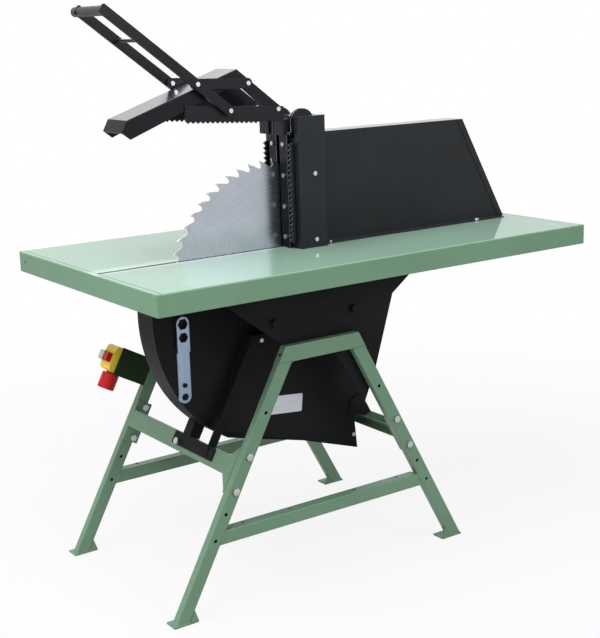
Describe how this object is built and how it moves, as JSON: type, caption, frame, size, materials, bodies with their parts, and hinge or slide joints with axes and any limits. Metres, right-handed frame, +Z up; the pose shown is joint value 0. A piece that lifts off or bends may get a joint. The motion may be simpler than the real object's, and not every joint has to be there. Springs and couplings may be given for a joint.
{
  "type": "rolling table saw",
  "caption": "Log saw with a green A-frame stand, a table that rolls past a toothed blade, a hood behind a column and a lever hold-down arm with a nose guard.",
  "frame": {"origin": "on the floor under the middle of the table", "axes": "+Z up, +X along the feed away from the operator, +Y to the motor's side"},
  "size_m": [1.267, 0.705, 1.3849],
  "materials": {
    "green_paint": "satin reed-green paint",
    "dark_green_paint": "satin dark green paint",
    "black_paint": "satin black powder coat",
    "dark_steel": "blackened steel with bright edges",
    "zinc": "bright zinc plate",
    "blade_steel": "ground saw steel",
    "machined_steel": "machined steel",
    "wire_rope": "galvanised wire rope",
    "grey_iron": "painted grey iron",
    "belt_rubber": "matte rubber",
    "motor_paint": "satin grey paint",
    "black_plastic": "matte black plastic",
    "roller_nylon": "off-white nylon",
    "yellow_plastic": "semi-gloss yellow",
    "red_plastic": "glossy red",
    "pale_green_plastic": "pale green"
  },
  "bodies": {
    "stand": {"near_frame": "green_paint", "far_frame": "green_paint", "front_cross_beam": "green_paint", "rear_cross_beam": "green_paint", "frame_bolts": "zinc", "side_plates": "black_paint", "plate_standoffs": "black_paint", "blade_housing": "black_paint", "chute_cover": "black_paint", "housing_brackets": "black_paint", "blade_wrench": "zinc", "housing_bolts": "zinc", "spindle_housing": "grey_iron", "spindle_bearings": "machined_steel", "drive_belts": "belt_rubber", "motor_carrier": "black_paint", "motor_body": "grey_iron", "motor_fan_cover": "motor_paint", "motor_terminal_box": "black_plastic", "roller_axles": "machined_steel", "switch_bracket": "dark_green_paint", "switch_case": "yellow_plastic", "switch_panel": "yellow_plastic"},
    "table": {"table_near_sheet": "green_paint", "table_far_sheet": "green_paint", "table_end_caps": "green_paint", "table_rails": "black_paint", "column": "black_paint", "guide_bars": "dark_steel", "toothed_strips": "black_paint", "hood_shell": "black_paint", "hood_rear_cover": "black_paint", "hood_bolts": "zinc", "cable_turns": "wire_rope"},
    "hold_down": {"guide_shoes": "dark_steel", "toothed_beams": "black_paint", "pivot_bolts": "zinc", "front_cables": "wire_rope"},
    "guard": {"guard_shell": "black_paint"},
    "handle": {"handle_bars": "black_paint", "handle_grip": "black_plastic"},
    "links": {"top_links": "black_paint", "link_bolts": "zinc"},
    "rope_pulley_pair": {"rope_pulleys": "black_plastic"},
    "weights": {"counterweights": "grey_iron", "rear_cables": "wire_rope"},
    "blade": {"saw_blade": "blade_steel", "blade_flanges": "machined_steel", "arbor_nut": "machined_steel", "arbor": "machined_steel", "arbor_pulley": "grey_iron"},
    "rotor": {"motor_shaft": "machined_steel", "motor_pulley": "grey_iron"},
    "roller_1": {"near_front_roller": "roller_nylon"},
    "roller_2": {"near_rear_roller": "roller_nylon"},
    "roller_3": {"far_front_roller": "roller_nylon"},
    "roller_4": {"far_rear_roller": "roller_nylon"},
    "stop_button": {"stop_button": "red_plastic"},
    "start_button": {"start_button": "pale_green_plastic"},
    "stop_mushroom": {"stop_mushroom": "red_plastic"}
  },
  "joints": [
    {"name": "table_roll", "type": "slide", "parent": "stand", "child": "table", "axis": [1, 0, 0], "range_m": [-0.32, 0.02]},
    {"name": "hold_down_slide", "type": "slide", "parent": "table", "child": "hold_down", "axis": [0, 0, 1], "range_m": [-0.2, 0], "deforming": ["front_cables"]},
    {"name": "guard_lift", "type": "hinge", "parent": "hold_down", "child": "guard", "pos_m": [-0.149, -0.059, 1.1375], "axis": [0, 1, 0], "range_deg": [0, 35]},
    {"name": "handle_swing", "type": "hinge", "parent": "hold_down", "child": "handle", "pos_m": [-0.28893, -0.059, 1.1419], "axis": [0, 1, 0], "range_deg": [0, 35]},
    {"name": "link_swing", "type": "hinge", "parent": "guard", "child": "links", "pos_m": [-0.23343, -0.059, 1.20159], "axis": [0, 1, 0], "range_deg": [-35, 0]},
    {"name": "rope_pulley_spin", "type": "hinge", "parent": "table", "child": "rope_pulley_pair", "pos_m": [-0.0842, -0.059, 1.101], "axis": [0, 1, 0], "range_deg": [-370, 5]},
    {"name": "weight_slide", "type": "slide", "parent": "table", "child": "weights", "axis": [0, 0, 1], "range_m": [0, 0.2], "deforming": ["rear_cables"]},
    {"name": "blade_spin", "type": "hinge", "parent": "stand", "child": "blade", "pos_m": [-0.145, -0.059, 0.7175], "axis": [0, 1, 0], "continuous": true},
    {"name": "rotor_spin", "type": "hinge", "parent": "stand", "child": "rotor", "pos_m": [-0.13, 0.0475, 0.465], "axis": [0, 1, 0], "continuous": true},
    {"name": "stop_press", "type": "slide", "parent": "stand", "child": "stop_button", "axis": [0.8788, 0, -0.4772], "range_m": [0, 0.005], "stiffness_N_per_m": 300, "springref_m": -0.004},
    {"name": "start_press", "type": "slide", "parent": "stand", "child": "start_button", "axis": [0.8788, 0, -0.4772], "range_m": [0, 0.005], "stiffness_N_per_m": 300, "springref_m": -0.004},
    {"name": "mushroom_press", "type": "slide", "parent": "stand", "child": "stop_mushroom", "axis": [0.4772, 0, 0.8788], "range_m": [0, 0.004], "stiffness_N_per_m": 400, "springref_m": -0.004},
    {"name": "roller_1_spin", "type": "hinge", "parent": "stand", "child": "roller_1", "pos_m": [-0.415, -0.217, 0.7657], "axis": [0, 1, 0], "range_deg": [-710, 50]},
    {"name": "roller_2_spin", "type": "hinge", "parent": "stand", "child": "roller_2", "pos_m": [0.15, -0.217, 0.7657], "axis": [0, 1, 0], "range_deg": [-710, 50]},
    {"name": "roller_3_spin", "type": "hinge", "parent": "stand", "child": "roller_3", "pos_m": [-0.415, 0.237, 0.7657], "axis": [0, 1, 0], "range_deg": [-710, 50]},
    {"name": "roller_4_spin", "type": "hinge", "parent": "stand", "child": "roller_4", "pos_m": [0.15, 0.237, 0.7657], "axis": [0, 1, 0], "range_deg": [-710, 50]}
  ],
  "couplings": [
    {"joint": "handle_swing", "follows": "guard_lift", "ratio": 1},
    {"joint": "link_swing", "follows": "guard_lift", "ratio": -1},
    {"joint": "rope_pulley_spin", "follows": "hold_down_slide", "rad_per_m": 31.447},
    {"joint": "weight_slide", "follows": "hold_down_slide", "ratio": -1},
    {"joint": "rotor_spin", "follows": "blade_spin", "ratio": 0.819},
    {"joint": "roller_1_spin", "follows": "table_roll", "rad_per_m": 38.462},
    {"joint": "roller_2_spin", "follows": "table_roll", "rad_per_m": 38.462},
    {"joint": "roller_3_spin", "follows": "table_roll", "rad_per_m": 38.462},
    {"joint": "roller_4_spin", "follows": "table_roll", "rad_per_m": 38.462}
  ]
}
